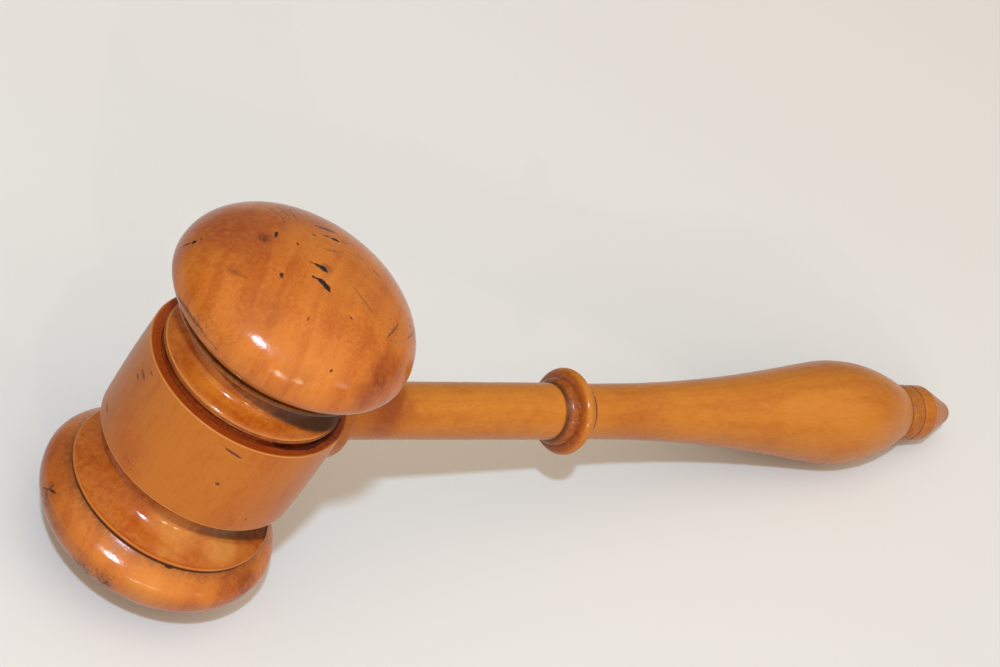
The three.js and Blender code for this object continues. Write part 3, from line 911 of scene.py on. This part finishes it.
cap_profile = []
for k in range(dome_steps + 1):
    turn_angle = math.pi / 2 * (1 - k / dome_steps)
    across = max(math.cos(turn_angle), 0) ** (2 / dome_exponent)
    up = math.sin(turn_angle) ** (2 / dome_exponent)
    cap_profile.append(Vector((cap_radius * across, cap_rim + dome_rise * up, 0)))
cap_profile += bent(
    (cap_radius, cap_rim),
    (cap_radius, cap_rim - cap_shoulder_drop),
    (cap_foot_radius + cap_foot_flare, cap_seat + cap_foot_flare),
    (cap_foot_radius, cap_seat), (-0.3, 0.62))
cap_profile += drawn([
    (cap_foot_radius, cap_seat, 0, 1),
    (cap_bore_radius - glue_gap, cap_seat, 0, 0),
    (cap_bore_radius - glue_gap, cap_seat - cap_spigot_length, 0, 0),
    (0, cap_seat - cap_spigot_length, 0, 0),
])
cap_profile = close_set(cap_profile)
upper_cap = turn("turned_upper_cap", cap_profile, cap_sides, cap_wood)
seat(upper_cap, rest_turn, "upper_striking_cap", dome_knocks)
lower_cap = turn("turned_lower_cap", cap_profile, cap_sides, cap_wood)
seat(lower_cap, rest_turn @ turned_over, "lower_striking_cap", low_knocks)


# Handle. One long turning with its tenon glued in the barrel, a collar, a slim
# shaft, a ring bead between two small beads, a swelling grip and a finial.
tenon_length = 15
collar_radius = 10.6
collar_length = 7.2
collar_round = 2
collar_sink = 0.25
shaft_root_radius = 6.6
shaft_root_cove = 0.8
shaft_end_radius = 6.85
shaft_length = 66.4
small_bead_width = 3
small_bead_radius = 8.2
ring_width = 3.6
ring_radius = 10.6
grip_root_radius = 6.75
grip_radius = 13.65
grip_length = 89.6
grip_swell_run = 53.6
grip_crown_run = 10.8
grip_shoulder_run = 9
grip_tail_length = 26
grip_end_radius = 7.6
grip_end_run = 8.6
grip_end_rise = 4
finial_groove_radius = 6.2
finial_groove_width = 0.9
finial_bead_length = 4.8
finial_bead_radius = 7.45
finial_line_depth = 0.5
finial_button_length = 5
finial_cone_length = 11.3
finial_tip_radius = 1.4
ring_root_inset = 0.35
ring_fullness = 0.8
handle_sides = 192
handle_step = 0.8

collar_seat_radius = collar_radius + glue_gap
collar_seat = math.sqrt(barrel_radius ** 2 - collar_seat_radius ** 2) - collar_sink + glue_gap
collar_face = collar_seat + collar_length
shaft_end = collar_face + shaft_length
ring_near = shaft_end + small_bead_width
ring_far = ring_near + ring_width
grip_start = ring_far + small_bead_width
grip_fullest = grip_start + grip_length
grip_end = grip_fullest + grip_tail_length
finial_start = grip_end + finial_groove_width
finial_line = finial_start + finial_bead_length
button_end = finial_line + finial_button_length
finial_tip = button_end + finial_cone_length
finial_line_radius = finial_bead_radius - finial_line_depth
ring_root_radius = small_bead_radius - ring_root_inset


def along_handle(turned, out, far):
    """A place at an angle round the handle, a distance out and so far from the head."""
    angle = math.radians(turned)
    return Vector((out * math.cos(angle), out * math.sin(angle), far))


# The patch on the shaft next to the collar is painted shade where the head shades it.
handle_stains = [
    (along_handle(-90, 7, grip_start + 16), 13.0, 0, 0.4),
    (along_handle(-135, 7, collar_face + 13), 9.0, 0, 1.0),
]
handle_marks = [
    (along_handle(180, 7, 60), 8.0, 1, 0.15),
    (along_handle(-90, 13, 180), 14.0, 1, 0.1),
    (along_handle(90, 12, 165), 14.0, 1, 0.12),
]
handle_wood, tree, shader, place, crooked_place = varnished(
    "handle wood", rest_tilt + math.pi / 2)
shader.inputs["Specular IOR Level"].default_value = 0.35
far = put(tree, "ShaderNodeSeparateXYZ", {0: place}).outputs["Z"]
ring_red = maths(tree, "MULTIPLY", soft_step(tree, far, shaft_end - 1, shaft_end + 0.6),
                 soft_step(tree, far, grip_start - 0.6, grip_start + 1, 1, 0))
# Painted shade on the ring's face towards the head.
ring_face_red = maths(tree, "MULTIPLY", soft_step(tree, far, shaft_end - 1, shaft_end + 0.4),
                      soft_step(tree, far, ring_near + 0.2, ring_near + 1.2, 1, 0))
finish_wood(
    tree, shader, 0.002, Place=place, Seed=(47, 3, 9), Pith=(6, 30, 0), Ring_Width=4.0,
    Cloud_Size=13.0, Ray_Strength=0.1,
    Honey=(0.57, 0.200, 0.021, 1), Amber=(0.45, 0.130, 0.010, 1),
    Red=(0.34, 0.072, 0.010, 1), Dirt=(0.060, 0.022, 0.010, 1), Pale=(0.70, 0.30, 0.06, 1),
    Redness=strongest(
        tree, (ring_red, 0.15), (ring_face_red, 1.0),
        (soft_step(tree, far, grip_end - 1, finial_start), 0.4),
        (soft_step(tree, far, button_end - 1, finial_tip - 2), 0.8),
        *scuffed(tree, place, handle_stains),
        # Painted shade on the collar and the shaft just above it.
        (soft_step(tree, far, collar_face + 4, collar_face - 1), 0.5)),
    Knocks=strongest(tree, *scuffed(tree, crooked_place, handle_marks)),
    Gloss_Loss=maths(tree, "MULTIPLY_ADD", ring_red, -0.12, 0.24))

handle_profile = drawn([
    (0, finial_tip, 0, 0),
    (finial_tip_radius, finial_tip - 0.3, 0.6, 0),
    (finial_tip_radius * 2, finial_tip - finial_tip_radius, 0.8, 0),
    (finial_bead_radius - 0.4, button_end, 0.8, 0),
    (finial_bead_radius, button_end - 0.9, 0.5, 0),
    (finial_bead_radius, finial_line, 0.6, 0.3),
    (finial_line_radius, finial_line, 0, 1),
])
handle_profile += bent(
    (finial_line_radius, finial_line),
    (finial_bead_radius + 0.3, finial_line - 0.6),
    (finial_bead_radius + 0.3, finial_start + 0.6),
    (finial_line_radius, finial_start), (0.35, 0.5))
handle_profile += drawn([
    (finial_line_radius, finial_start, 0, 0.6),
    (finial_groove_radius, finial_start, 0, 1),
    (finial_groove_radius, grip_end, 0, 1),
    (grip_end_radius, grip_end, 0, 0.4),
    (grip_end_radius + 0.7, grip_end - 1.5, 0, 0),
])
handle_profile += bent(
    (grip_end_radius, grip_end),
    (grip_end_radius + grip_end_rise, grip_end - grip_end_run),
    (grip_radius, grip_fullest + grip_shoulder_run),
    (grip_radius, grip_fullest), (0, 0), 48)[4:]
handle_profile += bent(
    (grip_radius, grip_fullest),
    (grip_radius, grip_fullest - grip_crown_run),
    (grip_root_radius, grip_start + grip_swell_run),
    (grip_root_radius, grip_start + 1.6), (0, 0), 96)
handle_profile += drawn([
    (grip_root_radius, grip_start + 1.6, 0, 0),
    (grip_root_radius, grip_start + 0.5, 0, 0.3),
    (grip_root_radius - 0.25, grip_start, 0.2, 1),
    (small_bead_radius, ring_far + 1.6, 0.8, 0.1),
    (small_bead_radius, ring_far, 0.4, 0.4),
    (ring_root_radius, ring_far, 0, 1),
])
# The ring's side towards the head and the small bead beside it are darkened as painted shade.
handle_profile += bent(
    (ring_root_radius, ring_far),
    (ring_radius + ring_fullness, ring_far),
    (ring_radius + ring_fullness, ring_near),
    (ring_root_radius, ring_near), (-0.3, 0.45))
handle_profile += drawn([
    (ring_root_radius, ring_near, 0, 0.8),
    (small_bead_radius, ring_near, 0.4, 0.45),
    (small_bead_radius, ring_near - 1.6, 0.8, 0.45),
    (shaft_end_radius - 0.25, shaft_end, 0.2, 1),
    (shaft_end_radius, shaft_end, 0, 0.3),
    (shaft_end_radius, shaft_end - 1.5, 0, 0),
    (shaft_root_radius, collar_face + 2.5, 0, 0),
    (shaft_root_radius, collar_face, shaft_root_cove, 0.5),
    (collar_radius, collar_face, collar_round, 0),
    (collar_radius, collar_seat, 0.2, 1),
    (tenon_bore_radius - glue_gap, collar_seat, 0, 0),
    (tenon_bore_radius - glue_gap, collar_seat - tenon_length, 0, 0),
    (0, collar_seat - tenon_length, 0, 0),
])
handle = turn("turned_handle", close_set(handle_profile, handle_step), handle_sides, handle_wood)
laid_along = Matrix.Rotation(math.pi / 2, 4, "Y")
seat(handle, rest_turn @ laid_along, "handle")
